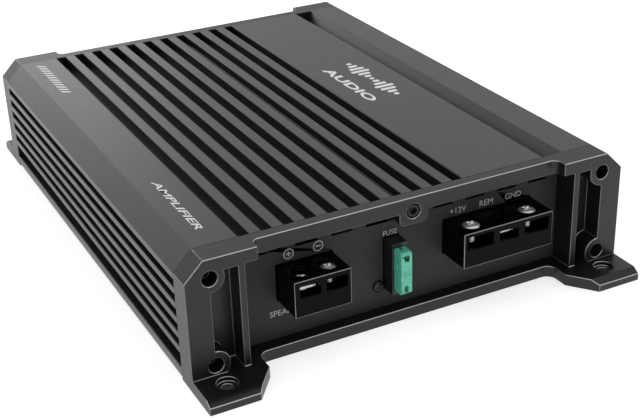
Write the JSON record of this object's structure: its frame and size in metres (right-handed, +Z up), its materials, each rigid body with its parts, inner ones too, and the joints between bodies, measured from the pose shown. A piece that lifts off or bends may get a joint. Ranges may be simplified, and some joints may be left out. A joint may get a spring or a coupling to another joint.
{
  "type": "car amplifier",
  "caption": "Finned black aluminium power amplifier for a vehicle, with screw terminals and a blade fuse in front, inputs and controls behind, and a foot with a bolt hole at each corner.",
  "frame": {"origin": "centre of the footprint, on the surface that the feet stand on", "axes": "+X along the terminal face, from the speaker terminals to the power terminals; +Y from the terminal end to the control end; +Z up"},
  "size_m": [0.2, 0.2878, 0.0552],
  "materials": {
    "black_anodised": "satin black anodised aluminium extrusion",
    "black_cast": "satin black powder-coated casting",
    "black_panel": "satin black painted sheet",
    "black_screw": "black oxide steel",
    "zinc_screw": "bright zinc-plated steel",
    "zinc_sheet": "zinc-plated steel sheet",
    "nickel": "bright nickel plate",
    "black_nylon": "glossy black moulded nylon",
    "brass": "tinned brass contact",
    "fuse_plastic": "translucent green moulded plastic",
    "circuit_board": "green solder-masked glass-epoxy board",
    "ferrite": "dark grey ferrite",
    "powder_core": "yellow coated powdered-iron core",
    "copper_wire": "enamelled copper wire",
    "capacitor_sleeve": "dark blue shrink sleeve",
    "black_epoxy": "black moulded epoxy",
    "silicone_pad": "grey silicone pad",
    "white_insert": "white moulded plastic",
    "pot_case": "blue moulded case",
    "knob_plastic": "black moulded plastic",
    "light_pipe": "clear moulded light pipe"
  },
  "bodies": {
    "chassis": {"heatsink": "black_anodised", "front_cap": "black_cast", "rear_cap": "black_cast", "terminal_panel": "black_panel", "control_panel": "black_panel", "bottom_plate": "zinc_sheet", "front_cap_screws": "black_screw", "rear_cap_screws": "black_screw", "bottom_screws": "zinc_screw", "panel_screw": "black_screw", "speaker_block": "black_nylon", "power_block": "black_nylon", "speaker_contacts": "brass", "power_contacts": "brass", "fuse_holder": "black_nylon", "fuse_contacts": "brass", "main_board": "circuit_board", "board_standoffs": "brass", "board_screws": "zinc_screw", "transformer_core": "ferrite", "transformer_winding": "copper_wire", "output_inductor_core": "powder_core", "output_inductor_winding": "copper_wire", "input_choke": "ferrite", "rail_capacitors": "capacitor_sleeve", "input_capacitors": "capacitor_sleeve", "supply_transistors": "black_epoxy", "output_transistors": "black_epoxy", "transistor_pads": "silicone_pad", "clamp_bars": "zinc_sheet", "clamp_bar_screws": "zinc_screw", "driver_board": "circuit_board", "driver_chips": "black_epoxy", "signal_chips": "black_epoxy", "jack_housing": "black_nylon", "jack_shells": "nickel", "jack_inserts": "white_insert", "remote_socket": "black_nylon", "control_pots": "pot_case", "phase_switch": "zinc_sheet", "status_lights": "light_pipe"},
    "fuse": {"fuse_body": "fuse_plastic", "fuse_blades": "zinc_screw"},
    "speaker_plus_clamp": {"speaker_plus_clamp": "nickel"},
    "speaker_plus_screw": {"speaker_plus_screw": "nickel"},
    "speaker_minus_clamp": {"speaker_minus_clamp": "nickel"},
    "speaker_minus_screw": {"speaker_minus_screw": "nickel"},
    "battery_clamp": {"battery_clamp": "nickel"},
    "battery_screw": {"battery_screw": "nickel"},
    "remote_clamp": {"remote_clamp": "nickel"},
    "remote_screw": {"remote_screw": "nickel"},
    "ground_clamp": {"ground_clamp": "nickel"},
    "ground_screw": {"ground_screw": "nickel"},
    "level_knob": {"level_knob": "knob_plastic"},
    "lowpass_knob": {"lowpass_knob": "knob_plastic"},
    "subsonic_knob": {"subsonic_knob": "knob_plastic"},
    "bass_knob": {"bass_knob": "knob_plastic"},
    "phase_lever": {"phase_lever": "knob_plastic"}
  },
  "joints": [
    {"name": "fuse_pull", "type": "slide", "parent": "chassis", "child": "fuse", "axis": [0, -1, 0], "range_m": [0, 0.024]},
    {"name": "speaker_plus_clamp_travel", "type": "slide", "parent": "chassis", "child": "speaker_plus_clamp", "axis": [0, 0, 1], "range_m": [-0.0014, 0.0022]},
    {"name": "speaker_plus_screw_turn", "type": "hinge", "parent": "speaker_plus_clamp", "child": "speaker_plus_screw", "pos_m": [-0.0509, -0.1238, 0.035], "axis": [0, 0, 1], "range_deg": [-726, 1136]},
    {"name": "speaker_minus_clamp_travel", "type": "slide", "parent": "chassis", "child": "speaker_minus_clamp", "axis": [0, 0, 1], "range_m": [-0.00299, 0.0007]},
    {"name": "speaker_minus_screw_turn", "type": "hinge", "parent": "speaker_minus_clamp", "child": "speaker_minus_screw", "pos_m": [-0.0394, -0.1238, 0.035], "axis": [0, 0, 1], "range_deg": [-1546, 366]},
    {"name": "battery_clamp_travel", "type": "slide", "parent": "chassis", "child": "battery_clamp", "axis": [0, 0, 1], "range_m": [-0.00408, 0]},
    {"name": "battery_screw_turn", "type": "hinge", "parent": "battery_clamp", "child": "battery_screw", "pos_m": [0.0264, -0.1238, 0.035], "axis": [0, 0, 1], "range_deg": [-2106, 6]},
    {"name": "remote_clamp_travel", "type": "slide", "parent": "chassis", "child": "remote_clamp", "axis": [0, 0, 1], "range_m": [-0.0013, 0.0016]},
    {"name": "remote_screw_turn", "type": "hinge", "parent": "remote_clamp", "child": "remote_screw", "pos_m": [0.0404, -0.1238, 0.035], "axis": [0, 0, 1], "range_deg": [-942, 1156]},
    {"name": "ground_clamp_travel", "type": "slide", "parent": "chassis", "child": "ground_clamp", "axis": [0, 0, 1], "range_m": [-0.00389, 0]},
    {"name": "ground_screw_turn", "type": "hinge", "parent": "ground_clamp", "child": "ground_screw", "pos_m": [0.054, -0.1238, 0.035], "axis": [0, 0, 1], "range_deg": [-2006, 6]},
    {"name": "level_turn", "type": "hinge", "parent": "chassis", "child": "level_knob", "pos_m": [-0.024, 0.1153, 0.026], "axis": [0, 1, 0], "range_deg": [-140, 140]},
    {"name": "lowpass_turn", "type": "hinge", "parent": "chassis", "child": "lowpass_knob", "pos_m": [-0.008, 0.1153, 0.026], "axis": [0, 1, 0], "range_deg": [-140, 140]},
    {"name": "subsonic_turn", "type": "hinge", "parent": "chassis", "child": "subsonic_knob", "pos_m": [0.008, 0.1153, 0.026], "axis": [0, 1, 0], "range_deg": [-140, 140]},
    {"name": "bass_turn", "type": "hinge", "parent": "chassis", "child": "bass_knob", "pos_m": [0.024, 0.1153, 0.026], "axis": [0, 1, 0], "range_deg": [-140, 140]},
    {"name": "phase_slide", "type": "slide", "parent": "chassis", "child": "phase_lever", "axis": [1, 0, 0], "range_m": [0, 0.004]}
  ],
  "couplings": [
    {"joint": "speaker_plus_screw_turn", "follows": "speaker_plus_clamp_travel", "rad_per_m": 8976},
    {"joint": "speaker_minus_screw_turn", "follows": "speaker_minus_clamp_travel", "rad_per_m": 8976},
    {"joint": "battery_screw_turn", "follows": "battery_clamp_travel", "rad_per_m": 8976},
    {"joint": "remote_screw_turn", "follows": "remote_clamp_travel", "rad_per_m": 12566},
    {"joint": "ground_screw_turn", "follows": "ground_clamp_travel", "rad_per_m": 8976}
  ]
}
